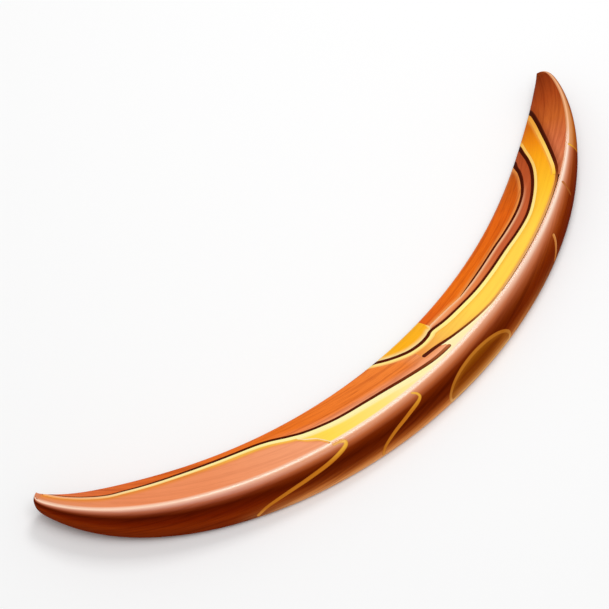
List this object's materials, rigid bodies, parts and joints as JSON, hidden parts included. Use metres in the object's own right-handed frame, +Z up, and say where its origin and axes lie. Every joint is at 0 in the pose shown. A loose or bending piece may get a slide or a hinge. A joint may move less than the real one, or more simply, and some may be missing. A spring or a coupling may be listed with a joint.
{
  "type": "boomerang",
  "caption": "Crescent throwing boomerang: a shaped hardwood blade with a flat underside, a ridge along its outer edge, an inlaid top face and let-in lines on its outer side.",
  "frame": {"origin": "middle of the bounding box in plan, on the flat underside", "axes": "+X from tip to tip along the chord, +Y toward the open side between the arms, +Z up from the flat underside"},
  "size_m": [0.4516, 0.1266, 0.0278],
  "materials": {
    "walnut": "clear gloss lacquer over sanded wood with visible grain",
    "ebony": "clear gloss lacquer over sanded wood with visible grain",
    "pale": "clear gloss lacquer over sanded wood with visible grain",
    "gold": "clear gloss lacquer over sanded wood with visible grain",
    "amber": "clear gloss lacquer over sanded wood with visible grain",
    "orange": "clear gloss lacquer over sanded wood with visible grain",
    "rose": "clear gloss lacquer over sanded wood with visible grain",
    "red": "clear gloss lacquer over sanded wood with visible grain",
    "honey": "clear gloss lacquer over sanded wood with visible grain"
  },
  "bodies": {
    "root": {"core_blank": "walnut", "near_rose_panel": "rose", "near_pale_panel": "pale", "middle_orange_panel": "orange", "amber_panel": "amber", "upper_orange_panel": "orange", "red_panel": "red", "golden_panel": "gold", "far_tip_panel": "red", "near_dark_line": "ebony", "upper_dark_line": "ebony", "inner_dark_line": "ebony", "far_dark_line": "ebony", "near_pale_line": "pale", "upper_pale_line": "pale", "far_pale_line": "pale", "side_line_long": "gold", "side_line_middle": "gold", "side_line_short": "gold", "side_line_fine": "honey", "side_line_tip": "gold", "oval_ring": "gold", "oval_panel": "honey", "far_side_panel": "amber"}
  },
  "joints": []
}
